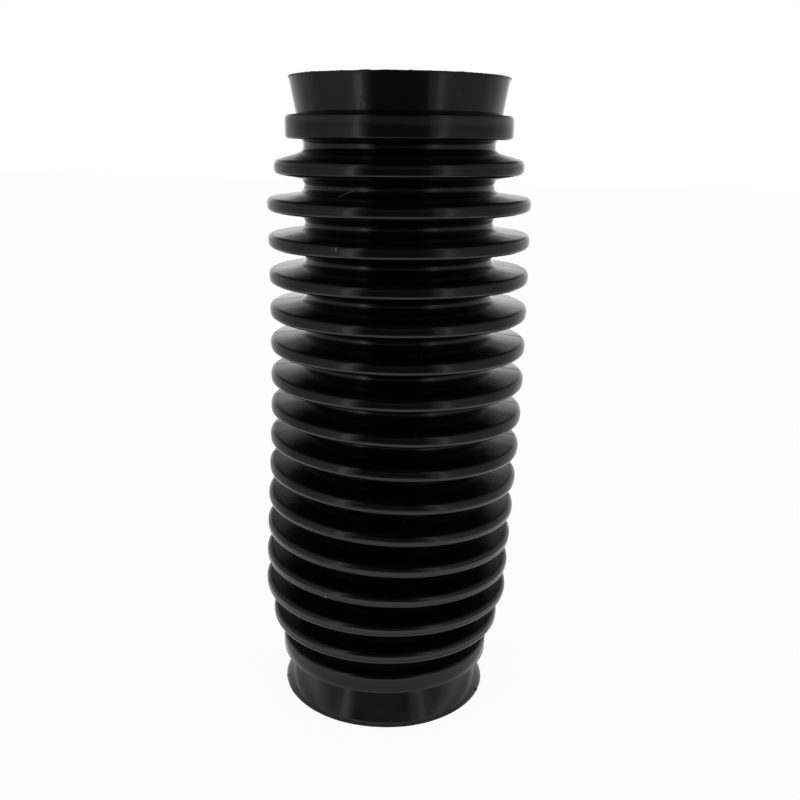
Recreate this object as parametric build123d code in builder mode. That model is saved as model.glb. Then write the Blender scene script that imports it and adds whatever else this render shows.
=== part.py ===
from build123d import *

import os
from math import asin, atan2, degrees, hypot
from typing import NamedTuple

# A bellows boot of moulded rubber: one sleeve, folded into rings along its length, with a plain collar
# at each end. Lengths are in millimetres. The axis is +Z, and the boot stands on its lower collar at z = 0.

# Rings, and the necks between them.
ring_count = 15
ring_radius = 40.0
end_ring_radius = 37.65  # the first and the last ring are smaller
ring_flat = 1.0  # width of the cylindrical band round the outside of a ring
last_ring_flat = 1.4  # the last ring is a little thicker
ring_corner = 1.6  # rounding on each side of that band
neck_radius = 28.8  # outside of a neck, where it is narrowest
neck_corner = 2.2  # hollow of a neck, seen from outside

# Distance from ring to ring. The boot's own weight closes its lower folds a little.
end_pitch = 10.55  # between the first two rings
bottom_pitch = 9.6  # between the next two
top_pitch = 10.8  # between the last two
crowding = 1.6  # how far up the closing fades: 1 is even, and more is sooner

# The wall. Inside, each ring is a tapered groove.
wall = 1.7  # at the necks and flanks
ring_wall = 2.0  # from a ring's outside to the bottom of its groove
groove_flat = 0.8  # width of the groove's bottom

# Lower collar, a cone with a bead round its upper edge.
foot_radius = 33.8
foot_edge = 0.5
lower_collar_height = 12.6
lower_collar_radius = 30.2  # under the bead
lower_bead_radius = 34.4
lower_bead_height = 5.9
lower_bead_shoulder = 1.2  # rounding of its upper edge
lower_bead_lip = 0.4  # rounding of its lower edge
lower_gap = 5.8  # from the bead up to the first ring
lower_bore_radius = 28.5
lower_bore_depth = 16.0

# Upper collar, which widens towards its rim, with a bead round its waist.
upper_gap = 5.6  # from the last ring up to the bead
upper_neck_rise = 3.3  # from the last ring up to where the neck under the bead is narrowest
upper_neck_corner = 2.75  # hollow of that neck
upper_bead_radius = 34.1
upper_bead_height = 6.9
upper_bead_corner = 1.0
waist_radius = 30.75
waist_corner = 0.5
rim_radius = 32.7
upper_collar_height = 10.7
upper_bore_radius = 28.5
upper_bore_depth = 15.5


class Round(NamedTuple):
    """A rounding in the wall's section.

    Args:
        r: Distance of its centre from the boot's axis.
        z: Height of its centre.
        radius: Its radius, or 0 at a plain corner.
    """

    r: float
    z: float
    radius: float


def flank_slope(edge, neck):
    """Returns the angle between the radial direction and the flank that is tangent to an edge and a neck."""
    inward = edge.r - neck.r
    along = abs(edge.z - neck.z)
    return degrees(atan2(along, inward) - asin((edge.radius + neck.radius) / hypot(inward, along)))


def draw_flank(edge, neck):
    """Draws the section's line from an edge, along its flank, to the middle of the neck above or below it."""
    slope = flank_slope(edge, neck)
    turn = slope - 90 if edge.z > neck.z else 90 - slope
    hollow = CenterArc((neck.r, neck.z), neck.radius, 180, turn)
    tip = (edge.r, edge.z)
    if edge.radius:
        tip = CenterArc(tip, edge.radius, 0, turn) @ 1
    Line(hollow @ 1, tip)


def draw_ring(radius, height, flat, corner, neck_below, neck_above):
    """Draws one ring of the section's line, from the middle of one neck to the middle of the next."""
    draw_flank(Round(radius - corner, height - flat / 2, corner), neck_below)
    Line((radius, height - flat / 2), (radius, height + flat / 2))
    draw_flank(Round(radius - corner, height + flat / 2, corner), neck_above)


# Heights, worked out from the foot upwards.
ring_height = ring_flat + 2 * ring_corner
lower_bead_top = lower_collar_height + lower_bead_height
ring_levels = [lower_bead_top + lower_gap + ring_height / 2]
ring_levels.append(ring_levels[0] + end_pitch)
even_gaps = ring_count - 2
for gap in range(even_gaps):
    closing = (top_pitch - bottom_pitch) * (1 - gap / (even_gaps - 1)) ** crowding
    ring_levels.append(ring_levels[-1] + top_pitch - closing)
last_ring_top = ring_levels[-1] + last_ring_flat / 2 + ring_corner
upper_bead_bottom = last_ring_top + upper_gap
upper_bead_top = upper_bead_bottom + upper_bead_height
top = upper_bead_top + upper_collar_height

ring_radii = [end_ring_radius] + [ring_radius] * (ring_count - 2) + [end_ring_radius]
ring_flats = [ring_flat] * (ring_count - 1) + [last_ring_flat]
neck_levels = [lower_bead_top + lower_gap / 2]
neck_levels += [(below + above) / 2 for below, above in zip(ring_levels, ring_levels[1:])]
upper_neck_level = last_ring_top + upper_neck_rise
neck_inside = neck_radius - wall


def list_necks(thickness):
    """Returns the necks' roundings from the lowest upwards, for the wall's skin at a depth in the rubber."""
    necks = [Round(neck_radius + neck_corner, level, neck_corner + thickness) for level in neck_levels]
    upper_radius = upper_neck_corner + thickness
    return necks + [Round(neck_radius + upper_neck_corner, upper_neck_level, upper_radius)]


with BuildPart() as bellows_boot:
    with BuildSketch(Plane.XZ) as section:
        with BuildLine():
            # Outside: the foot and the lower collar, the rings, then the upper collar and its rim.
            necks = list_necks(0)
            Polyline(
                (lower_bore_radius, 0),
                (foot_radius, 0),
                (lower_collar_radius, lower_collar_height),
                (lower_bead_radius, lower_collar_height),
                (lower_bead_radius, lower_bead_top - lower_bead_shoulder),
            )
            draw_flank(
                Round(
                    lower_bead_radius - lower_bead_shoulder,
                    lower_bead_top - lower_bead_shoulder,
                    lower_bead_shoulder,
                ),
                necks[0],
            )
            for i in range(ring_count):
                draw_ring(ring_radii[i], ring_levels[i], ring_flats[i], ring_corner, necks[i], necks[i + 1])
            # The last neck's hollow runs on into the underside of the bead.
            upper_turn = -degrees(asin((upper_bead_bottom - upper_neck_level) / upper_neck_corner))
            upper_hollow = CenterArc((necks[-1].r, upper_neck_level), upper_neck_corner, 180, upper_turn)
            Polyline(
                upper_hollow @ 1,
                (upper_bead_radius, upper_bead_bottom),
                (upper_bead_radius, upper_bead_top),
                (waist_radius, upper_bead_top),
                (rim_radius, top),
                (upper_bore_radius, top),
            )
            # Inside: the two bores, each up to its stop, and between them a groove behind every ring.
            inner_necks = list_necks(wall)
            Polyline(
                (lower_bore_radius, 0),
                (lower_bore_radius, lower_bore_depth),
                (neck_inside, lower_bore_depth),
                (neck_inside, neck_levels[0]),
            )
            for i in range(ring_count):
                draw_ring(
                    ring_radii[i] - ring_wall,
                    ring_levels[i],
                    groove_flat,
                    0,
                    inner_necks[i],
                    inner_necks[i + 1],
                )
            Polyline(
                (neck_inside, upper_neck_level),
                (neck_inside, top - upper_bore_depth),
                (upper_bore_radius, top - upper_bore_depth),
                (upper_bore_radius, top),
            )
        make_face()
        corners = section.vertices()
        fillet(corners.sort_by_distance((foot_radius, 0))[0], foot_edge)
        fillet(corners.sort_by_distance((lower_bead_radius, lower_collar_height))[0], lower_bead_lip)
        fillet(corners.sort_by_distance((upper_bead_radius, upper_bead_bottom))[0], upper_bead_corner)
        fillet(corners.sort_by_distance((upper_bead_radius, upper_bead_top))[0], upper_bead_corner)
        fillet(corners.sort_by_distance((waist_radius, upper_bead_top))[0], waist_corner)
    revolve(axis=Axis.Z)

bellows_boot.part.label = "bellows_boot"
os.makedirs("parts", exist_ok=True)
export_step(bellows_boot.part, "parts/bellows_boot.step")
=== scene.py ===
"""Dresses the rubber bellows boot: one moulded sleeve of rounded rings with a plain collar at each end.

The boot is drawn as the two skins of its wall, each spun round the axis, joined and bent by the lean of
a soft part that stands on its own. Lengths in the size classes are millimetres, and Blender's are metres.
"""

import logging
import math
from dataclasses import dataclass, field
from enum import Enum
from typing import Optional, Union

import bmesh
import bpy
from mathutils import Matrix, Vector


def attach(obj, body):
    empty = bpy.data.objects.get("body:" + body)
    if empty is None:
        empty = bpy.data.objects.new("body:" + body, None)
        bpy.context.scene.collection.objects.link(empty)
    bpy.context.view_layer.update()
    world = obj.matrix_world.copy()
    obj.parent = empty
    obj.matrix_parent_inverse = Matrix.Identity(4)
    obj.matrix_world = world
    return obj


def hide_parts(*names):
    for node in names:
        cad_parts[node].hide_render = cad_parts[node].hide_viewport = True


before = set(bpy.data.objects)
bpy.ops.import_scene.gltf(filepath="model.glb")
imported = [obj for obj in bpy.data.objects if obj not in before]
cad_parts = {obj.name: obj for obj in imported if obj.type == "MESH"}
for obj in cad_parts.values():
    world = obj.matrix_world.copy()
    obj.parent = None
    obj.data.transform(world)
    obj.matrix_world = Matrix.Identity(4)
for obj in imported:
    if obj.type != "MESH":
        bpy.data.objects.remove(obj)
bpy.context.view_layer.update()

Socket = bpy.types.NodeSocket
Value = Union[float, tuple, Socket]
Pair = tuple[float, float]
Pairs = tuple[Pair, ...]

MM = 0.001
MICRONS = 1000  # to the millimetre
MERGE_DISTANCE = MM / 200
SHORTEST_LINE = MM / MICRONS
log = logging.getLogger("bellows_boot")


def choose(*pieces: bpy.types.Object) -> None:
    """Selects some pieces and nothing else, with the first of them active.

    Args:
        *pieces: The pieces, or none.
    """
    bpy.ops.object.select_all(action="DESELECT")
    for piece in pieces:
        piece.select_set(True)
    if pieces:
        bpy.context.view_layer.objects.active = pieces[0]


def merge_doubles() -> None:
    """Merges the vertices of the edited mesh that lie on one another."""
    bpy.ops.mesh.select_all(action="SELECT")
    bpy.ops.mesh.remove_doubles(threshold=MERGE_DISTANCE)


class Skin(Enum):
    """The two skins of the moulded wall."""

    OUTSIDE = "outside"
    INSIDE = "inside"


class Turn(Enum):
    """Which way an arc of the section turns, seen with the boot's axis on the left."""

    LEFT = 1
    RIGHT = -1


@dataclass(frozen=True)
class Round:
    """A rounding in the wall's section.

    Args:
        r: Distance of its centre from the boot's axis.
        z: Height of its centre.
        radius: Its radius, or 0 at a plain corner.
    """

    r: float
    z: float
    radius: float


@dataclass(frozen=True)
class BootSizes:
    """The boot's own sizes, in millimetres."""

    # Rings, and the necks between them.
    ring_count: int = 15
    ring_radius: float = 40.0
    end_ring_radius: float = 37.65
    ring_flat: float = 1.0
    last_ring_flat: float = 1.4
    ring_corner: float = 1.6
    neck_radius: float = 28.8
    neck_corner: float = 2.2

    # Distance from ring to ring, which closes a little over the lower folds.
    end_pitch: float = 10.55
    bottom_pitch: float = 9.6
    top_pitch: float = 10.8
    crowding: float = 1.6

    # The wall, with a tapered groove inside each ring.
    wall: float = 1.7
    ring_wall: float = 2.0
    groove_flat: float = 0.8

    # The lower collar and its bead.
    foot_radius: float = 33.65
    foot_edge: float = 0.25
    lower_collar_height: float = 12.6
    lower_collar_radius: float = 29.35
    lower_bead_radius: float = 34.4
    lower_bead_height: float = 5.9
    lower_bead_corner: float = 1.2
    lower_bead_lip: float = 0.4
    lower_gap: float = 5.8
    lower_bore_radius: float = 28.5
    lower_bore_depth: float = 16.0

    # The upper collar and its bead.
    upper_gap: float = 5.6
    upper_neck_rise: float = 3.75
    upper_neck_corner: float = 2.1
    upper_bead_radius: float = 34.1
    upper_bead_height: float = 6.9
    upper_bead_corner: float = 1.0
    waist_radius: float = 30.75
    rim_radius: float = 32.7
    upper_collar_height: float = 10.7
    upper_bore_radius: float = 28.5
    upper_bore_depth: float = 15.5

    @property
    def ring_height(self) -> float:
        """Returns the height of a ring's rim below the last one, roundings included."""
        return self.ring_flat + 2 * self.ring_corner

    @property
    def lower_bead_top(self) -> float:
        """Returns the height of the lower bead's upper edge."""
        return self.lower_collar_height + self.lower_bead_height

    @property
    def ring_levels(self) -> list[float]:
        """Returns the height of the middle of each ring, from the foot upwards."""
        levels = [self.lower_bead_top + self.lower_gap + self.ring_height / 2]
        levels.append(levels[0] + self.end_pitch)
        last = self.ring_count - 3
        for gap in range(self.ring_count - 2):
            squeeze = (self.top_pitch - self.bottom_pitch) * (1 - gap / last) ** self.crowding
            levels.append(levels[-1] + self.top_pitch - squeeze)
        return levels

    @property
    def ring_radii(self) -> list[float]:
        """Returns the outside radius of each ring, from the foot upwards."""
        return [self.end_ring_radius, *[self.ring_radius] * (self.ring_count - 2), self.end_ring_radius]

    @property
    def ring_flats(self) -> list[float]:
        """Returns the width of the band round each ring, from the foot upwards."""
        return [*[self.ring_flat] * (self.ring_count - 1), self.last_ring_flat]

    @property
    def last_ring_top(self) -> float:
        """Returns the height of the last ring's upper edge."""
        return self.ring_levels[-1] + self.last_ring_flat / 2 + self.ring_corner

    @property
    def upper_bead_bottom(self) -> float:
        """Returns the height of the upper bead's lower edge."""
        return self.last_ring_top + self.upper_gap

    @property
    def upper_bead_top(self) -> float:
        """Returns the height of the upper bead's upper edge."""
        return self.upper_bead_bottom + self.upper_bead_height

    @property
    def top(self) -> float:
        """Returns the boot's whole height."""
        return self.upper_bead_top + self.upper_collar_height

    @property
    def neck_levels(self) -> list[float]:
        """Returns the height of each neck below the top ring, from the one over the lower bead upwards."""
        levels = self.ring_levels
        lowest = self.lower_bead_top + self.lower_gap / 2
        return [lowest, *[(below + above) / 2 for below, above in zip(levels, levels[1:])]]


class SectionPen:
    """Draws one skin of the wall's section as a line of vertices in the XZ plane, in edit mode."""

    def __init__(self, name: str, r: float, z: float) -> None:
        """Adds a plane, merges it to one vertex and moves that to the line's start.

        Args:
            name: Name of the new object.
            r: Distance of the start from the axis, in millimetres.
            z: Height of the start, in millimetres.
        """
        choose()
        bpy.ops.mesh.primitive_plane_add(size=MM, location=(0, 0, 0))
        self.piece = bpy.context.object
        self.piece.name = name
        bpy.ops.object.mode_set(mode="EDIT")
        bpy.ops.mesh.merge(type="CENTER")
        bpy.ops.transform.translate(value=(r * MM, 0, z * MM))
        self.r = r
        self.z = z

    def line(self, r: float, z: float, cuts: int = 1) -> None:
        """Draws a straight stretch.

        Args:
            r: Distance of its end from the axis.
            z: Height of its end.
            cuts: How many edges it is made of.
        """
        step = ((r - self.r) * MM / cuts, 0, (z - self.z) * MM / cuts)
        if math.hypot(*step) < SHORTEST_LINE:
            return
        for _ in range(cuts):
            bpy.ops.mesh.extrude_region_move(TRANSFORM_OT_translate={"value": step})
        self.r = r
        self.z = z

    def arc(self, centre: Round, angle: float, turn: Turn, steps: int) -> None:
        """Draws an arc that starts where the line has come to, or nothing at a plain corner.

        Args:
            centre: The rounding that it follows.
            angle: How far it turns, in radians.
            turn: Which way it turns.
            steps: How many edges it is made of.
        """
        if not centre.radius:
            return
        bpy.ops.mesh.spin(
            steps=steps,
            dupli=False,
            angle=angle,
            use_auto_merge=False,
            center=(centre.r * MM, 0, centre.z * MM),
            axis=(0, turn.value, 0),
        )
        swing = Matrix.Rotation(angle * turn.value, 2)
        arm = swing @ Vector((self.r - centre.r, self.z - centre.z))
        self.r = centre.r + arm.x
        self.z = centre.z + arm.y


def flank_slope(edge: Round, neck: Round) -> float:
    """Finds how steep a flank is.

    Args:
        edge: Rounding at the ring's rim.
        neck: Rounding at the neck.

    Returns:
        The angle in radians between the radial direction and the line that is tangent to both.
    """
    inward = edge.r - neck.r
    along = abs(edge.z - neck.z)
    return math.atan2(along, inward) - math.asin((edge.radius + neck.radius) / math.hypot(inward, along))


@dataclass
class MouldSeam:
    """The line that the two halves of the mould leave down the boot, once on each side.

    Args:
        width: Half of its width, as an angle in degrees round the axis.
        crest: Share of that width inside which a vertex is on the line's crest.
        proud: How far it stands out of the rubber, in millimetres.
    """

    width: float = 0.42
    crest: float = 0.2
    proud: float = 0.22

    def steps(self, around: int) -> list[tuple[float, int]]:
        """Lists the turns that spin a skin once round, with five narrow columns at each seam.

        Args:
            around: How many steps each half has between the seams.

        Returns:
            Pairs of an angle in radians and the number of steps in it.
        """
        narrow = math.radians(self.width)
        wide = math.pi - 4 * narrow
        return [(2 * narrow, 2), (wide, around), (2 * narrow, 2)] * 2

    def raise_line(self, outer: bmesh.types.BMesh) -> None:
        """Selects the middle column of each seam on the outer skin, so that it can be raised.

        Args:
            outer: The skin's mesh, in edit mode.
        """
        near = self.crest * math.radians(self.width)
        for vertex in outer.verts:
            vertex.select = abs(vertex.co.y) < near * abs(vertex.co.x)
        outer.select_flush_mode()


@dataclass
class Lean:
    """How the boot leans: to one side over its lower folds, and partly back over the upper ones.

    Args:
        out: Distance that the lower folds carry it to +X, in millimetres.
        out_from: Height at which that starts.
        out_to: Height at which that ends.
        back: Distance that the upper folds bring it back.
        back_from: Height at which that starts.
        back_to: Height at which that ends.
        levels: How many levels the bending cage has.
    """

    out: float = 2.07
    out_from: float = 29.0
    out_to: float = 106.0
    back: float = 1.5
    back_from: float = 108.5
    back_to: float = 221.0
    levels: int = 49

    @staticmethod
    def ease(z: float, low: float, high: float) -> Pair:
        """Finds a smooth step from 0 to 1 between two heights.

        Args:
            z: The height.
            low: Where the step starts.
            high: Where it ends.

        Returns:
            Its value and its slope at z.
        """
        t = min(max((z - low) / (high - low), 0.0), 1.0)
        return t * t * (3 - 2 * t), 6 * t * (1 - t) / (high - low)

    def at(self, z: float) -> Pair:
        """Finds where the boot's axis is at a height.

        Args:
            z: The height, in millimetres.

        Returns:
            Its offset to +X in millimetres, and its tilt in radians.
        """
        out, out_slope = self.ease(z, self.out_from, self.out_to)
        back, back_slope = self.ease(z, self.back_from, self.back_to)
        tilt = math.atan(self.out * out_slope - self.back * back_slope)
        return self.out * out - self.back * back, tilt

    def bend(self, piece: bpy.types.Object, height: float, radius: float) -> None:
        """Bends a piece with a lattice cage whose levels stay square to the leaning axis.

        Args:
            piece: The piece to bend.
            height: The boot's height, in millimetres.
            radius: Half of the cage's width, in millimetres.
        """
        choose()
        bpy.ops.object.add(type="LATTICE", location=(0, 0, height * MM / 2))
        cage = bpy.context.object
        cage.scale = (2 * radius * MM, 2 * radius * MM, height * MM)
        cage.data.points_u = 2
        cage.data.points_v = 2
        cage.data.points_w = self.levels
        for axis in "uvw":
            setattr(cage.data, f"interpolation_type_{axis}", "KEY_LINEAR")
        # A lattice's own coordinates run from -0.5 to 0.5.
        for point in cage.data.points:
            side = point.co.x * 2 * radius
            level = (point.co.z + 0.5) * height
            offset, tilt = self.at(level)
            moved_x = offset + side * math.cos(tilt)
            moved_z = level - side * math.sin(tilt)
            point.co_deform = (moved_x / (2 * radius), point.co.y, moved_z / height - 0.5)
        choose(piece)
        lean = piece.modifiers.new("lean", "LATTICE")
        lean.object = cage
        bpy.ops.object.modifier_apply(modifier=lean.name)
        cage_data = cage.data
        bpy.data.objects.remove(cage)
        bpy.data.lattices.remove(cage_data)


@dataclass
class Ripple:
    """The faint unevenness of soft rubber, or the ragged line of a trimmed edge.

    Args:
        length: Size of its waves, in millimetres.
        depth: How deep they are from top to bottom, in millimetres.
        direction: The way that it moves the skin, as a Displace modifier names it.
        detail: How many times finer waves are laid over the first.
    """

    length: float = 9.0
    depth: float = 0.14
    direction: str = "NORMAL"
    detail: int = 1

    def shake(self, piece: bpy.types.Object, group: str = "") -> None:
        """Moves a piece's skin a little.

        Args:
            piece: The piece.
            group: Its vertex group that moves, or nothing for all of it.
        """
        waves = bpy.data.textures.new(f"{piece.name}_waves", "CLOUDS")
        waves.noise_scale = self.length * MM
        waves.noise_depth = self.detail
        choose(piece)
        move = piece.modifiers.new("ripple", "DISPLACE")
        move.texture = waves
        move.direction = self.direction
        move.strength = self.depth * MM
        move.vertex_group = group
        bpy.ops.object.modifier_apply(modifier=move.name)
        bpy.data.textures.remove(waves)


@dataclass
class Sleeve:
    """The moulded sleeve: both skins of its wall, from the foot to the trimmed rim.

    Args:
        sizes: The boot's sizes.
        seam: The mould's parting line.
        lean: How the boot leans.
        ripple: The faint unevenness of its skin.
        around: Steps that each half of a skin has between the seams.
        corner_steps: Edges in the arc of a corner on a ring or a bead.
        small_steps: Edges in the arc of a neck, of the foot's edge or of the lower bead's lip.
        inner_steps: Edges in the arc of a neck's inner skin.
        collar_cuts: Edges up the cone of a collar.
        band_cuts: Edges across the foot's underside, and across the upper bead's band and its ledge.
        bore_cuts: Edges up the lower and the upper bore.
        rim_cuts: Edges across the rim.
        sharp: Angle in degrees over which an edge stays sharp.
    """

    sizes: BootSizes = field(default_factory=BootSizes)
    seam: MouldSeam = field(default_factory=MouldSeam)
    lean: Lean = field(default_factory=Lean)
    ripple: Ripple = field(default_factory=Ripple)
    around: int = 88
    corner_steps: int = 5
    small_steps: int = 4
    inner_steps: int = 2
    collar_cuts: int = 8
    band_cuts: int = 2
    bore_cuts: tuple[int, int] = (3, 4)
    rim_cuts: int = 3
    sharp: float = 32.0

    def necks(self, skin: Skin) -> list[Round]:
        """Lists the necks' roundings.

        Args:
            skin: The skin that they are wanted for.

        Returns:
            One rounding for each neck, from the lowest neck upwards.
        """
        s = self.sizes
        thick = s.wall if skin is Skin.INSIDE else 0
        found = [Round(s.neck_radius + s.neck_corner, z, s.neck_corner + thick) for z in s.neck_levels]
        corner = s.upper_neck_corner
        level = s.last_ring_top + s.upper_neck_rise
        return [*found, Round(s.neck_radius + corner, level, corner + thick)]

    def ring_edges(self, skin: Skin) -> list[tuple[Round, Round]]:
        """Lists the roundings at the rings' rims.

        Args:
            skin: The skin that they are wanted for.

        Returns:
            The lower and the upper rounding of each ring, from the lowest ring upwards.
        """
        s = self.sizes
        corner, back, flats = s.ring_corner, s.ring_corner, s.ring_flats
        if skin is Skin.INSIDE:
            corner, back, flats = 0, s.ring_wall, [s.groove_flat] * s.ring_count
        pairs = []
        for radius, level, flat in zip(s.ring_radii, s.ring_levels, flats):
            low = Round(radius - back, level - flat / 2, corner)
            pairs.append((low, Round(radius - back, level + flat / 2, corner)))
        return pairs

    def draw_flank(self, pen: SectionPen, first: Round, last: Round, neck_steps: int) -> None:
        """Draws up a flank: out from a neck to the rim of a ring, or in from a rim to a neck.

        Args:
            pen: The pen, at the start of the first rounding.
            first: The lower rounding.
            last: The upper rounding.
            neck_steps: Edges in the neck's arc.
        """
        outwards = first.r < last.r
        edge, neck = (last, first) if outwards else (first, last)
        slope = flank_slope(edge, neck)
        angle = math.pi / 2 - slope
        ways = [(Turn.RIGHT, neck_steps), (Turn.LEFT, self.corner_steps)]
        if not outwards:
            ways.reverse()
        ahead = last.radius * math.sin(slope) * (1 if outwards else -1)
        pen.arc(first, angle, *ways[0])
        pen.line(last.r + ahead, last.z - last.radius * math.cos(slope))
        pen.arc(last, angle, *ways[1])

    def draw_rings(self, pen: SectionPen, skin: Skin) -> None:
        """Draws all rings, from the middle of the lowest neck to that of the highest.

        Args:
            pen: The pen, at the middle of the lowest neck.
            skin: The skin that is drawn.
        """
        necks = self.necks(skin)
        steps = self.small_steps if skin is Skin.OUTSIDE else self.inner_steps
        for i, (low, high) in enumerate(self.ring_edges(skin)):
            self.draw_flank(pen, necks[i], low, steps)
            pen.line(pen.r, high.z)
            self.draw_flank(pen, high, necks[i + 1], steps)

    def draw_outside(self) -> SectionPen:
        """Draws the outer skin's section.

        Returns:
            The pen at the rim's outer corner.
        """
        s = self.sizes
        quarter = math.pi / 2
        necks = self.necks(Skin.OUTSIDE)
        pen = SectionPen("outer_skin", s.lower_bore_radius, 0)
        edge = Round(s.foot_radius - s.foot_edge, s.foot_edge, s.foot_edge)
        pen.line(edge.r, 0, self.band_cuts)
        pen.arc(edge, quarter, Turn.LEFT, self.small_steps)
        pen.line(s.lower_collar_radius, s.lower_collar_height, self.collar_cuts)
        corner = s.lower_bead_lip
        lip = Round(s.lower_bead_radius - corner, s.lower_collar_height + corner, corner)
        pen.line(lip.r, s.lower_collar_height)
        pen.arc(lip, quarter, Turn.LEFT, self.small_steps)
        corner = s.lower_bead_corner
        shoulder = Round(s.lower_bead_radius - corner, s.lower_bead_top - corner, corner)
        pen.line(s.lower_bead_radius, shoulder.z)
        self.draw_flank(pen, shoulder, necks[0], self.small_steps)
        self.draw_rings(pen, Skin.OUTSIDE)
        hollow = math.asin((s.upper_bead_bottom - necks[-1].z) / necks[-1].radius)
        pen.arc(necks[-1], hollow, Turn.RIGHT, self.small_steps)
        corner = s.upper_bead_corner
        low = Round(s.upper_bead_radius - corner, s.upper_bead_bottom + corner, corner)
        high = Round(s.upper_bead_radius - corner, s.upper_bead_top - corner, corner)
        pen.line(low.r, s.upper_bead_bottom)
        pen.arc(low, quarter, Turn.LEFT, self.corner_steps)
        pen.line(s.upper_bead_radius, high.z, self.band_cuts)
        pen.arc(high, quarter, Turn.LEFT, self.corner_steps)
        pen.line(s.waist_radius, s.upper_bead_top, self.band_cuts)
        pen.line(s.rim_radius, s.top, self.collar_cuts)
        return pen

    def draw_inside(self) -> SectionPen:
        """Draws the inner skin's section.

        Returns:
            The pen at the rim's outer corner.
        """
        s = self.sizes
        land = s.neck_radius - s.wall
        stop = s.top - s.upper_bore_depth
        pen = SectionPen("inner_skin", s.lower_bore_radius, 0)
        pen.line(s.lower_bore_radius, s.lower_bore_depth, self.bore_cuts[0])
        pen.line(land, s.lower_bore_depth)
        pen.line(land, self.necks(Skin.INSIDE)[0].z)
        self.draw_rings(pen, Skin.INSIDE)
        pen.line(land, stop)
        pen.line(s.upper_bore_radius, stop)
        pen.line(s.upper_bore_radius, s.top, self.bore_cuts[1])
        pen.line(s.rim_radius, s.top, self.rim_cuts)
        return pen

    def spin(self, pen: SectionPen) -> bpy.types.Object:
        """Spins a drawn line once round the axis.

        Args:
            pen: The pen that drew it.

        Returns:
            The skin.
        """
        bpy.ops.mesh.select_all(action="SELECT")
        for angle, steps in self.seam.steps(self.around):
            bpy.ops.mesh.spin(
                steps=steps,
                dupli=False,
                angle=angle,
                use_auto_merge=False,
                center=(0, 0, 0),
                axis=(0, 0, 1),
            )
        merge_doubles()
        return pen.piece

    def build(self) -> bpy.types.Object:
        """Builds the sleeve.

        Returns:
            The finished sleeve.
        """
        inner = self.spin(self.draw_inside())
        bpy.ops.object.mode_set(mode="OBJECT")
        outer = self.spin(self.draw_outside())
        bpy.ops.mesh.normals_make_consistent(inside=False)
        self.seam.raise_line(bmesh.from_edit_mesh(outer.data))
        bpy.ops.transform.shrink_fatten(value=self.seam.proud * MM)
        bpy.ops.object.mode_set(mode="OBJECT")
        for piece, inward in ((outer, 0.0), (inner, 1.0)):
            mark = piece.data.attributes.new("inner_skin", "FLOAT", "POINT")
            mark.data.foreach_set("value", [inward] * len(piece.data.vertices))
        choose(outer, inner)
        bpy.ops.object.join()
        outer.name = "boot_sleeve"
        bpy.ops.object.mode_set(mode="EDIT")
        merge_doubles()
        bpy.ops.mesh.normals_make_consistent(inside=False)
        bpy.ops.object.mode_set(mode="OBJECT")
        self.ripple.shake(outer)
        self.lean.bend(outer, self.sizes.top, self.sizes.ring_radius)
        bpy.ops.object.shade_smooth_by_angle(angle=math.radians(self.sharp))
        return outer


@dataclass
class TrimFlash:
    """The ragged line of rubber left round the rim, where it was trimmed.

    Args:
        sizes: The boot's sizes.
        lean: How the boot leans.
        hold: How far it reaches into the rubber, in millimetres.
        proud: How far it stands out of the rim.
        drop: How far down from the rim it reaches.
        columns: Steps round the rim.
        rise: The raggedness of its upper edge.
        fray: The raggedness of its outer edge.
        sharp: Angle in degrees over which an edge stays sharp.
    """

    sizes: BootSizes = field(default_factory=BootSizes)
    lean: Lean = field(default_factory=Lean)
    hold: float = 0.4
    proud: float = 0.12
    drop: float = 0.4
    columns: int = 720
    rise: Ripple = field(default_factory=lambda: Ripple(2.4, 0.34, "Z", 3))
    fray: Ripple = field(default_factory=lambda: Ripple(3.0, 0.2, "NORMAL", 3))
    sharp: float = 25.0

    def build(self) -> bpy.types.Object:
        """Builds the line of flash.

        Returns:
            The finished piece.
        """
        s = self.sizes
        low = s.top - self.drop
        inner = s.rim_radius - self.hold
        outer = s.rim_radius + self.proud
        pen = SectionPen("trim_flash", inner, low)
        pen.line(outer, low)
        pen.line(outer, s.top - self.proud / 2)
        pen.line(s.rim_radius, s.top + self.proud / 3)
        pen.line(inner, s.top - self.proud)
        pen.line(inner, low)
        merge_doubles()
        bpy.ops.mesh.select_all(action="SELECT")
        bpy.ops.mesh.spin(steps=self.columns, angle=2 * math.pi, center=(0, 0, 0), axis=(0, 0, 1))
        merge_doubles()
        bpy.ops.mesh.normals_make_consistent(inside=False)
        bpy.ops.object.mode_set(mode="OBJECT")
        piece = pen.piece
        edges = piece.vertex_groups.new(name="ragged")
        outside = (s.rim_radius - self.hold / 2) * MM
        above = (s.top - self.drop / 2) * MM
        points = piece.data.vertices
        ragged = [point.index for point in points if point.co.xy.length > outside and point.co.z > above]
        edges.add(ragged, 1.0, "REPLACE")
        self.rise.shake(piece, edges.name)
        self.fray.shake(piece, edges.name)
        self.lean.bend(piece, s.top, s.ring_radius)
        bpy.ops.object.shade_smooth_by_angle(angle=math.radians(self.sharp))
        return piece


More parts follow.
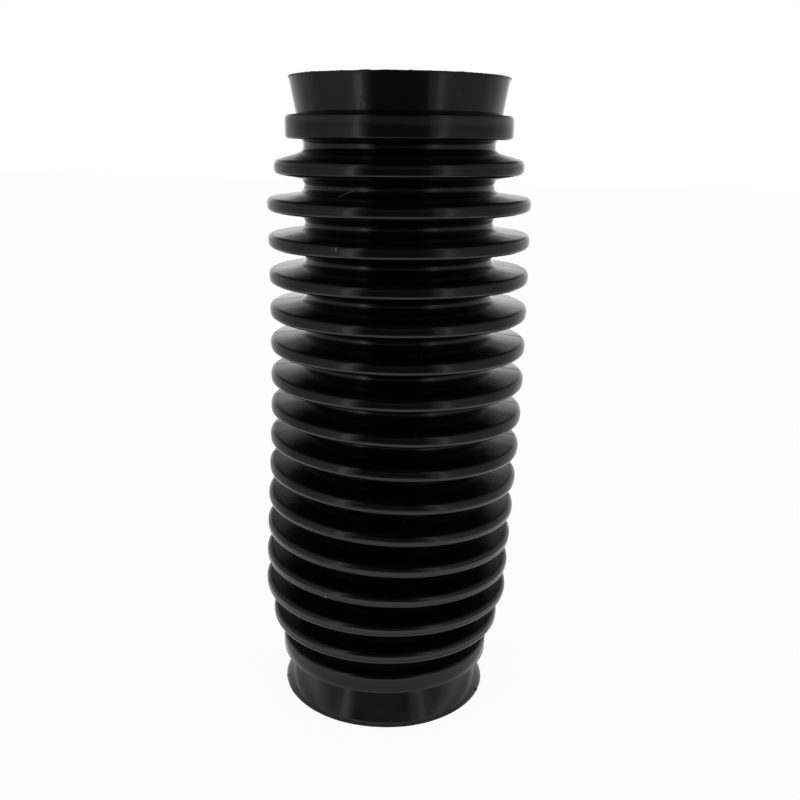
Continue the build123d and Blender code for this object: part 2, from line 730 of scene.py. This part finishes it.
@dataclass
class FootFlash:
    """The two small tags of flash at the foot, each left by a vent in the mould.

    Args:
        sizes: The boot's sizes.
        places: The angle of each round the axis in degrees, 0 at the front, and its middle's height.
        width: Width of a tag, in millimetres.
        tall: Its height.
        proud: How far it stands out of the foot.
        taper: How much of its width is left at the top.
        sharp: Angle in degrees over which an edge stays sharp.
    """

    sizes: BootSizes = field(default_factory=BootSizes)
    places: Pairs = ((-78.5, 1.5), (69.0, 0.8))
    width: float = 0.6
    tall: float = 1.0
    proud: float = 0.13
    taper: float = 0.5
    sharp: float = 40.0

    def build(self) -> bpy.types.Object:
        """Builds both tags as one piece.

        Returns:
            The finished piece.
        """
        tags = []
        for angle, level in self.places:
            choose()
            bpy.ops.mesh.primitive_cube_add(size=MM)
            tag = bpy.context.object
            bpy.ops.object.mode_set(mode="EDIT")
            bpy.ops.mesh.select_all(action="SELECT")
            bpy.ops.transform.resize(value=(self.width, 2 * self.proud, self.tall))
            bpy.ops.mesh.bevel(offset=self.proud * MM / 3, segments=2)
            bpy.ops.transform.translate(value=(0, -self.sizes.foot_radius * MM, 0))
            self.narrow_top(tag)
            bpy.ops.object.mode_set(mode="OBJECT")
            tag.location.z = level * MM
            tag.rotation_euler = (0, 0, math.radians(angle))
            bpy.ops.object.transform_apply(location=True, rotation=True, scale=True)
            tags.append(tag)
        choose(*tags)
        bpy.ops.object.join()
        tags[0].name = "foot_flash"
        bpy.ops.object.shade_smooth_by_angle(angle=math.radians(self.sharp))
        return tags[0]

    def narrow_top(self, tag: bpy.types.Object) -> None:
        """Draws a tag's upper end in towards the foot.

        Args:
            tag: The tag, in edit mode.
        """
        mesh = bmesh.from_edit_mesh(tag.data)
        for vertex in mesh.verts:
            vertex.select = vertex.co.z > 0
        mesh.select_flush_mode()
        bpy.ops.transform.resize(
            value=(self.taper, 1, 1), center_override=(0, -self.sizes.foot_radius * MM, 0)
        )
        bpy.ops.transform.translate(value=(0, self.proud * MM / 2, 0))


# Numbers of a Mix node's colour sockets: its two inputs and its output.
MIX_A, MIX_B, MIX_RESULT = 6, 7, 2


class Board:
    """Wires the nodes of one tree."""

    def __init__(self, tree: bpy.types.NodeTree) -> None:
        """Takes the tree.

        Args:
            tree: The tree that the nodes go in.
        """
        self.tree = tree

    def add(
        self,
        kind: str,
        inputs: dict[str | int, Value],
        group: Optional[bpy.types.NodeTree] = None,
        **settings: str,
    ) -> bpy.types.Node:
        """Adds a node.

        Args:
            kind: Its type's name, after ShaderNode.
            inputs: What each of its inputs gets: a value, or another node's socket.
            group: The group that it holds, if it is a group node.
            **settings: Its own settings.

        Returns:
            The node.
        """
        node = self.tree.nodes.new("ShaderNode" + kind)
        if group:
            node.node_tree = group
        for name, setting in settings.items():
            setattr(node, name, setting)
        for key, value in inputs.items():
            if isinstance(value, Socket):
                self.tree.links.new(value, node.inputs[key])
            else:
                node.inputs[key].default_value = value
        return node

    def work_out(self, operation: str, *values: Value) -> Socket:
        """Adds a Math node.

        Args:
            operation: What it works out.
            *values: What it works on.

        Returns:
            Its result.
        """
        return self.add("Math", dict(enumerate(values)), operation=operation).outputs[0]

    def vector(self, operation: str, *values: Value) -> bpy.types.Node:
        """Adds a Vector Math node and returns it."""
        return self.add("VectorMath", dict(enumerate(values)), operation=operation)

    def spread(self, value: Value, source: Pair, target: Pair) -> Socket:
        """Carries a value smoothly from one range to another.

        Args:
            value: The value.
            source: The range that it comes from.
            target: The range that it goes to.

        Returns:
            The new value, held inside its range.
        """
        limits = {"Value": value, "From Min": source[0], "From Max": source[1]}
        limits |= {"To Min": target[0], "To Max": target[1]}
        return self.add("MapRange", limits, interpolation_type="SMOOTHSTEP").outputs["Result"]

    def ramp(self, value: Value, stops: Pairs, easing: str = "EASE") -> Socket:
        """Turns a value into a level of light.

        Args:
            value: The value.
            stops: Pairs of a value and the level there, from the lowest value upwards.
            easing: How the level goes from one stop to the next.

        Returns:
            The level, held outside the stops.
        """
        low, high = stops[0][0], stops[-1][0]
        limits = {"Value": value, "From Min": low, "From Max": high}
        share = self.add("MapRange", limits).outputs["Result"]
        node = self.add("ValToRGB", {"Fac": share})
        node.color_ramp.interpolation = easing
        elements = node.color_ramp.elements
        while len(elements) < len(stops):
            elements.new(0.5)
        for element, (place, level) in zip(elements, stops):
            element.position = (place - low) / (high - low)
            element.color = (level, level, level, 1.0)
        return node.outputs["Color"]


class EffectGroup:
    """A node group that several finishes share."""

    def __init__(self, name: str, inputs: dict[str, str], output: str) -> None:
        """Makes the group with its sockets.

        Args:
            name: The group's name.
            inputs: Names of its inputs, and their types after NodeSocket.
            output: Name of its one output, a number.
        """
        self.tree = bpy.data.node_groups.new(name, "ShaderNodeTree")
        for label, kind in inputs.items():
            self.tree.interface.new_socket(label, in_out="INPUT", socket_type="NodeSocket" + kind)
        self.tree.interface.new_socket(output, in_out="OUTPUT", socket_type="NodeSocketFloat")
        self.board = Board(self.tree)
        self.given = self.tree.nodes.new("NodeGroupInput").outputs
        self.result = self.tree.nodes.new("NodeGroupOutput").inputs[output]

    def close(self, value: Socket) -> bpy.types.NodeTree:
        """Sends a value out of the group.

        Args:
            value: The value.

        Returns:
            The finished group.
        """
        self.tree.links.new(value, self.result)
        return self.tree


@dataclass
class Effects:
    """The effects that the boot's finishes share: the mould's grain, settled dust, and marks.

    Args:
        grain_scale: How fine the mould's grain is, in patches to the metre.
        grain_detail: How many times finer grain is laid over the first.
        line_scale: How close the turning lines are, in lines to the metre.
        line_detail: How many times finer lines are laid over the first.
        line_stretch: How fast the lines change across the boot, as a share of how fast they do up it.
        dust_scale: How close the specks of dust may lie, in cells to the metre.
        speck: Where a speck fades out from its middle, as shares of a cell.
        mark_edge: Where a mark fades out from its middle, as shares of half its width.
    """

    grain_scale: float = 900.0
    grain_detail: float = 3.0
    line_scale: float = 2200.0
    line_detail: float = 2.0
    line_stretch: float = 0.02
    dust_scale: float = 420.0
    speck: Pair = (0.035, 0.075)
    mark_edge: Pair = (0.3, 1.0)

    def __post_init__(self) -> None:
        """Builds the three groups."""
        self.grain = self.build_grain()
        self.dust = self.build_dust()
        self.mark = self.build_mark()

    def build_grain(self) -> bpy.types.NodeTree:
        """Builds the fine grain of the mould, with the level lines that turning left in it."""
        inputs = {"Vector": "Vector", "Grain": "Float", "Lines": "Float"}
        group = EffectGroup("mould_grain", inputs, "Height")
        board, given = group.board, group.given
        fine = {"Vector": given["Vector"], "Scale": self.grain_scale, "Detail": self.grain_detail}
        grain = board.add("TexNoise", fine)
        stretch = (self.line_stretch, self.line_stretch, 1.0)
        flat = board.vector("MULTIPLY", given["Vector"], stretch).outputs[0]
        level = {"Vector": flat, "Scale": self.line_scale, "Detail": self.line_detail}
        lines = board.add("TexNoise", level)
        height = board.work_out("MULTIPLY", grain.outputs["Fac"], given["Grain"])
        return group.close(board.work_out("MULTIPLY_ADD", lines.outputs["Fac"], given["Lines"], height))

    def build_dust(self) -> bpy.types.NodeTree:
        """Builds sparse specks of settled dust."""
        group = EffectGroup("settled_dust", {"Vector": "Vector", "Amount": "Float"}, "Mask")
        board, given = group.board, group.given
        cells = board.add("TexVoronoi", {"Vector": given["Vector"], "Scale": self.dust_scale})
        speck = board.spread(cells.outputs["Distance"], self.speck, (1.0, 0.0))
        chance = board.add("SeparateColor", {0: cells.outputs["Color"]}).outputs[0]
        kept = board.work_out("LESS_THAN", chance, given["Amount"])
        return group.close(board.work_out("MULTIPLY", speck, kept))

    def build_mark(self) -> bpy.types.NodeTree:
        """Builds one straight mark between two points."""
        ends = {"Vector": "Vector", "Start": "Vector", "End": "Vector", "Width": "Float"}
        group = EffectGroup("straight_mark", ends, "Mask")
        board, given = group.board, group.given
        along = board.vector("SUBTRACT", given["End"], given["Start"]).outputs[0]
        to_point = board.vector("SUBTRACT", given["Vector"], given["Start"]).outputs[0]
        reach = board.vector("DOT_PRODUCT", to_point, along).outputs["Value"]
        whole = board.vector("DOT_PRODUCT", along, along).outputs["Value"]
        share = board.add("Clamp", {"Value": board.work_out("DIVIDE", reach, whole)}).outputs[0]
        nearest = board.add("VectorMath", {0: along, "Scale": share}, operation="SCALE").outputs[0]
        away = board.vector("DISTANCE", to_point, nearest).outputs["Value"]
        near = board.work_out("DIVIDE", away, given["Width"])
        return group.close(board.spread(near, self.mark_edge, (1.0, 0.0)))


@dataclass(frozen=True)
class Mark:
    """A scratch, speck or nick on the front of the boot, as it is seen from the front.

    Args:
        start: Where it starts, to the right and up, in millimetres.
        end: Where it ends.
        width: Half of its width.
        pale: How pale it is, from 0 to 1.
        deep: How deep it is, from 0 to 1.
    """

    start: Pair
    end: Pair
    width: float
    pale: float = 0.0
    deep: float = 0.0


# A hair, three specks and two faint scratches on the folds, then three dents in the upper collar.
MARKS = (
    Mark((-15.7, 163.3), (-11.4, 165.2), 0.2, pale=0.5),
    Mark((-15.6, 149.7), (-15.6, 150.3), 0.26, pale=1.0),
    Mark((-16.7, 150.1), (-16.6, 150.3), 0.16, pale=0.4),
    Mark((-18.1, 45.6), (-18.0, 46.2), 0.2, pale=0.8),
    Mark((-9.9, 37.6), (-6.4, 37.7), 0.16, pale=0.16),
    Mark((-4.8, 37.2), (-2.6, 37.3), 0.16, pale=0.2),
    Mark((-10.0, 193.3), (-10.0, 192.4), 0.8, deep=1.0),
    Mark((-10.3, 191.4), (-9.7, 191.2), 0.7, deep=0.8),
    Mark((-9.2, 188.2), (-9.1, 187.6), 0.7, deep=0.8),
)


@dataclass(frozen=True)
class RubberFinish:
    """Black moulded rubber with a soft gloss.

    Args:
        name: The material's name.
        colour: Base colour, linear.
        dust_colour: Colour of dust and pale scratches, linear.
        ior: Its index of refraction.
        roughness: Roughness of the cleanest skin.
        roughness_spread: How much rougher the dullest patches are.
        patch_scale: How close the duller patches are, in patches to the metre.
        patch_detail: How many times finer patches are laid over the first.
        patch_edge: Between which values of that pattern the skin goes from clean to dull.
        inside: How much rougher the inner skin is.
        ledges: How much rougher the skin is where it faces up, and dust has dulled it.
        ledge_edge: Between which rises of the surface's normal that comes in.
        grain: Height of the grain, in thousandths of a millimetre.
        lines: Height of the mould's turning lines, in thousandths of a millimetre.
        dust: Share of the places where a speck of dust lies.
        marks: Its scratches, specks and nicks.
        marked_depth: Between which depths the marks fade out towards the back, as Y in metres.
        scuff: How much rougher a pale mark is.
        dent: Depth of the deepest mark, in thousandths of a millimetre.
    """

    name: str = "black_moulded_rubber"
    colour: tuple[float, float, float] = (0.0042, 0.0043, 0.0046)
    dust_colour: tuple[float, float, float] = (0.35, 0.34, 0.33)
    ior: float = 1.5
    roughness: float = 0.1
    roughness_spread: float = 0.05
    patch_scale: float = 60.0
    patch_detail: float = 4.0
    patch_edge: Pair = (0.35, 0.7)
    inside: float = 0.15
    ledges: float = 0.12
    ledge_edge: Pair = (0.4, 0.85)
    grain: float = 2.5
    lines: float = 1.5
    dust: float = 0.012
    marks: tuple[Mark, ...] = MARKS
    marked_depth: Pair = (-0.022, -0.018)
    scuff: float = 0.5
    dent: float = 20.0

    def add_marks(self, board: Board, place: Socket, mark: bpy.types.NodeTree) -> tuple[Value, Value]:
        """Adds the marks on the front.

        Args:
            board: The material's board.
            place: Object coordinates.
            mark: The group that draws one mark.

        Returns:
            How pale, and how deep, the marks make each point.
        """
        flat = board.vector("MULTIPLY", place, (1.0, 0.0, 1.0)).outputs[0]
        depth = board.add("SeparateXYZ", {0: place}).outputs["Y"]
        front = board.spread(depth, self.marked_depth, (1.0, 0.0))
        pale: Value = 0.0
        deep: Value = 0.0
        for one in self.marks:
            start, end = [(x * MM, 0.0, z * MM) for x, z in (one.start, one.end)]
            stroke = {"Vector": flat, "Start": start, "End": end, "Width": one.width * MM}
            drawn = board.add("Group", stroke, mark).outputs["Mask"]
            mask = board.work_out("MULTIPLY", drawn, front)
            if one.pale:
                pale = board.work_out("MAXIMUM", board.work_out("MULTIPLY", mask, one.pale), pale)
            if one.deep:
                deep = board.work_out("MAXIMUM", board.work_out("MULTIPLY", mask, one.deep), deep)
        return pale, deep

    def material(self, effects: Effects) -> bpy.types.Material:
        """Builds the material.

        Args:
            effects: The shared effects.

        Returns:
            The rubber.
        """
        made = bpy.data.materials.new(self.name)
        made.use_nodes = True
        board = Board(made.node_tree)
        place = board.add("TexCoord", {}).outputs["Object"]
        pale, deep = self.add_marks(board, place, effects.mark)
        dust = board.add("Group", {"Vector": place, "Amount": self.dust}, effects.dust).outputs["Mask"]
        pale = board.work_out("MAXIMUM", dust, pale)
        cloud = {"Vector": place, "Scale": self.patch_scale, "Detail": self.patch_detail}
        patch = board.add("TexNoise", cloud).outputs["Fac"]
        dull = self.roughness + self.roughness_spread
        rough = board.spread(patch, self.patch_edge, (self.roughness, dull))
        inner = board.add("Attribute", {}, attribute_name="inner_skin").outputs["Fac"]
        rough = board.work_out("MULTIPLY_ADD", inner, self.inside, rough)
        facing = board.add("NewGeometry", {}).outputs["Normal"]
        upward = board.add("SeparateXYZ", {0: facing}).outputs["Z"]
        dusted = board.spread(upward, self.ledge_edge, (0.0, self.ledges))
        rough = board.work_out("ADD", dusted, rough)
        rough = board.work_out("MULTIPLY_ADD", pale, self.scuff, rough)
        colours = {MIX_A: (*self.colour, 1.0), MIX_B: (*self.dust_colour, 1.0)}
        skin = board.add("Mix", {"Factor": pale, **colours}, data_type="RGBA")
        heights = {"Vector": place, "Grain": self.grain / MICRONS, "Lines": self.lines / MICRONS}
        grain = board.add("Group", heights, effects.grain).outputs["Height"]
        height = board.work_out("MULTIPLY_ADD", deep, -self.dent / MICRONS, grain)
        bump = board.add("Bump", {"Height": height, "Distance": MM})
        shader = made.node_tree.nodes["Principled BSDF"]
        shader.inputs["IOR"].default_value = self.ior
        links = made.node_tree.links
        links.new(skin.outputs[MIX_RESULT], shader.inputs["Base Color"])
        links.new(rough, shader.inputs["Roughness"])
        links.new(bump.outputs["Normal"], shader.inputs["Normal"])
        return made


TRIMMED_RUBBER = RubberFinish("trimmed_rubber", roughness=0.35, grain=6.0, lines=0.0, marks=())


@dataclass(frozen=True)
class Studio:
    """The pale table, the room's light and the camera.

    Args:
        lens: Focal length, in millimetres.
        sensor: Width of the sensor, in millimetres.
        clip: Nearest and farthest distance that the camera sees, in metres.
        distance: From the boot's axis to under the camera, in millimetres.
        height: The camera's height over the table, in millimetres.
        pitch: How far it looks down, in degrees.
        yaw: How far it looks to the left, in degrees.
        roll: How far it leans to the left, in degrees.
        room: The room's light by direction, in degrees round the boot from the camera's side.
        low_glow: Light added just over the horizon, by how much the direction rises.
        ceiling: Where the room fades out towards its ceiling, by that rise.
        ceiling_level: How much light is left at the ceiling.
        overhang: How far the dark ceiling comes down on the camera's side.
        backdrop: Where the white backdrop ends over the boot, by that rise.
        backdrop_level: How much light is left over it.
        backdrop_lean: How much lower it ends towards the back.
        painted_pool_and_shadow: The table's glow by distance from the boot's axis, in metres, seen only in
            reflections and as light: a painted contact shadow close to the foot, a bright ring just
            outside it, and a painted pool of light that fades away from the boot.
        far_share: How much of the room's light the table takes on, by that distance.
        table_size: Length of the table's sides, in metres.
        table_seen: The table's own glow to the camera.
        table_shade: How strongly the table shows the boot's shadow.
    """

    lens: float = 42.29
    sensor: float = 36.0
    clip: Pair = (0.01, 20.0)
    distance: float = 292.35
    height: float = 178.8
    pitch: float = 15.41
    yaw: float = -0.63
    roll: float = 1.46
    room: Pairs = (
        (-180, 1.5), (-140, 0.5), (-115, 0.32), (-98, 0.235), (-60, 0.305),
        (-49, 0.38), (-44.8, 0.76), (-40.8, 0.8), (-36.8, 0.34), (-30.5, 0.1),
        (-26, 0.04), (14, 0.04), (28.5, 0.06), (31.5, 0.25), (37, 0.28),
        (41, 0.62), (45, 0.55), (48, 0.34), (60, 0.265), (95, 0.25),
        (115, 0.36), (140, 0.6), (180, 1.5),
    )
    low_glow: Pairs = ((0.045, 0.0), (0.065, 0.16), (0.14, 0.16), (0.24, 0.0))
    ceiling: Pair = (0.6, 0.9)
    ceiling_level: float = 0.06
    overhang: float = 0.1
    backdrop: Pair = (0.65, 0.785)
    backdrop_level: float = 0.1
    backdrop_lean: float = 0.5
    # Painted contact shadow close to the foot, a bright ring, and a painted pool of light fading away from
    # the boot, all in the table's glow.
    painted_pool_and_shadow: Pairs = (
        (0.036, 0.4), (0.041, 0.42), (0.0445, 1.0), (0.0505, 0.48),
        (0.066, 0.55), (0.083, 0.78), (0.106, 0.84), (0.15, 1.0), (0.19, 0.42),
        (0.23, 0.12), (0.3, 0.04),
    )
    far_share: Pairs = ((0.08, 0.3), (0.2, 1.2))
    table_size: float = 8.0
    table_seen: float = 0.94
    table_shade: float = 0.3

    def room_level(self, board: Board, direction: Socket) -> Socket:
        """Finds the room's light for a direction round the boot.

        Args:
            board: The board that it goes on.
            direction: The direction.

        Returns:
            The light's level.
        """
        split = board.add("SeparateXYZ", {0: direction}).outputs
        to_camera = board.work_out("MULTIPLY", split["Y"], -1.0)
        turn = board.work_out("ARCTAN2", split["X"], to_camera)
        return board.ramp(board.work_out("DEGREES", turn), self.room)

    @staticmethod
    def send_out(board: Board, kind: str, lit: Socket, seen: Socket) -> None:
        """Sends out one shader as light for the boot, and another as what the camera sees.

        Args:
            board: The board that they are on.
            kind: World or Material.
            lit: The shader that lights the boot.
            seen: The shader that the camera sees.
        """
        camera = board.add("LightPath", {}).outputs["Is Camera Ray"]
        both = board.add("MixShader", {0: camera, 1: lit, 2: seen}).outputs[0]
        board.add("Output" + kind, {"Surface": both})

    def light_room(self) -> None:
        """Lights the room: white behind, softer at the sides, with a dark gap at the camera."""
        world = bpy.data.worlds.new("studio")
        world.use_nodes = True
        bpy.context.scene.world = world
        world.node_tree.nodes.clear()
        board = Board(world.node_tree)
        direction = board.add("TexCoord", {}).outputs["Generated"]
        split = board.add("SeparateXYZ", {0: direction}).outputs
        rise = board.work_out("MULTIPLY_ADD", split["Y"], -self.overhang, split["Z"])
        fade = board.spread(rise, self.ceiling, (1.0, self.ceiling_level))
        over = board.work_out("MULTIPLY_ADD", split["Y"], self.backdrop_lean, split["Z"])
        behind = board.spread(over, self.backdrop, (1.0, self.backdrop_level))
        fade = board.work_out("MULTIPLY", behind, fade)
        low = board.ramp(split["Z"], self.low_glow, "LINEAR")
        level = board.vector("ADD", self.room_level(board, direction), low).outputs[0]
        room = board.add("Background", {"Color": level, "Strength": fade}).outputs[0]
        white = board.add("Background", {"Color": (1.0, 1.0, 1.0, 1.0)}).outputs[0]
        self.send_out(board, "World", room, white)

    def lay_table(self) -> None:
        """Lays the pale table under the boot. In reflections and as light, its glow carries a painted pool
        of light and a painted contact shadow round the foot.
        """
        choose()
        bpy.ops.mesh.primitive_plane_add(size=self.table_size, location=(0, 0, 0))
        table = bpy.context.object
        table.name = "table"
        made = bpy.data.materials.new("pale_table")
        made.use_nodes = True
        made.node_tree.nodes.clear()
        board = Board(made.node_tree)
        place = board.add("TexCoord", {}).outputs["Object"]
        reach = board.vector("LENGTH", place).outputs["Value"]
        # Painted pool of light round the boot with a painted contact shadow at the foot, seen only in
        # reflections and as light.
        near = board.ramp(reach, self.painted_pool_and_shadow)
        share = board.ramp(reach, self.far_share, "LINEAR")
        # Farther out, the room's light by direction is painted onto the table's glow.
        far = board.vector("MULTIPLY", self.room_level(board, place), share).outputs[0]
        level = board.vector("MAXIMUM", near, far).outputs[0]
        painted_table_glow = board.add("Emission", {"Color": level}).outputs[0]
        glow = board.add("Emission", {"Color": (*[self.table_seen] * 3, 1.0)}).outputs[0]
        shade = board.add("BsdfDiffuse", {"Color": (*[self.table_shade] * 3, 1.0)}).outputs[0]
        top = board.add("AddShader", {0: glow, 1: shade}).outputs[0]
        self.send_out(board, "Material", painted_table_glow, top)
        table.data.materials.append(made)

    def set_camera(self) -> None:
        """Stands the camera in front of the boot, a little over it."""
        data = bpy.data.cameras.new("camera")
        data.lens = self.lens
        data.sensor_width = self.sensor
        data.clip_start, data.clip_end = self.clip
        camera = bpy.data.objects.new("camera", data)
        bpy.context.scene.collection.objects.link(camera)
        stand = Matrix.Translation((0, -self.distance * MM, self.height * MM))
        turn = Matrix.Rotation(math.radians(self.yaw), 4, "Z")
        tip = Matrix.Rotation(math.radians(90 - self.pitch), 4, "X")
        roll = Matrix.Rotation(math.radians(self.roll), 4, "Z")
        camera.matrix_world = stand @ turn @ tip @ roll
        bpy.context.scene.camera = camera
        bpy.context.scene.view_settings.view_transform = "Standard"

    def build(self) -> None:
        """Builds the table, the light and the camera."""
        self.lay_table()
        self.light_room()
        self.set_camera()


def main() -> None:
    """Builds the boot and its studio, and reports each piece."""
    logging.basicConfig(level=logging.INFO, format="%(name)s: %(message)s")
    effects = Effects()
    skin = RubberFinish().material(effects)
    flash = TRIMMED_RUBBER.material(effects)
    sleeve = Sleeve().build()
    for piece, finish in ((sleeve, skin), (TrimFlash().build(), flash), (FootFlash().build(), flash)):
        piece.data.materials.clear()
        piece.data.materials.append(finish)
        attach(piece, "root")
        triangles = sum(len(face.vertices) - 2 for face in piece.data.polygons)
        log.info("%s has %d triangles", piece.name, triangles)
    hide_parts("bellows_boot")
    Studio().build()
    log.info("table, light and camera are set")


if __name__ == "__main__":
    main()
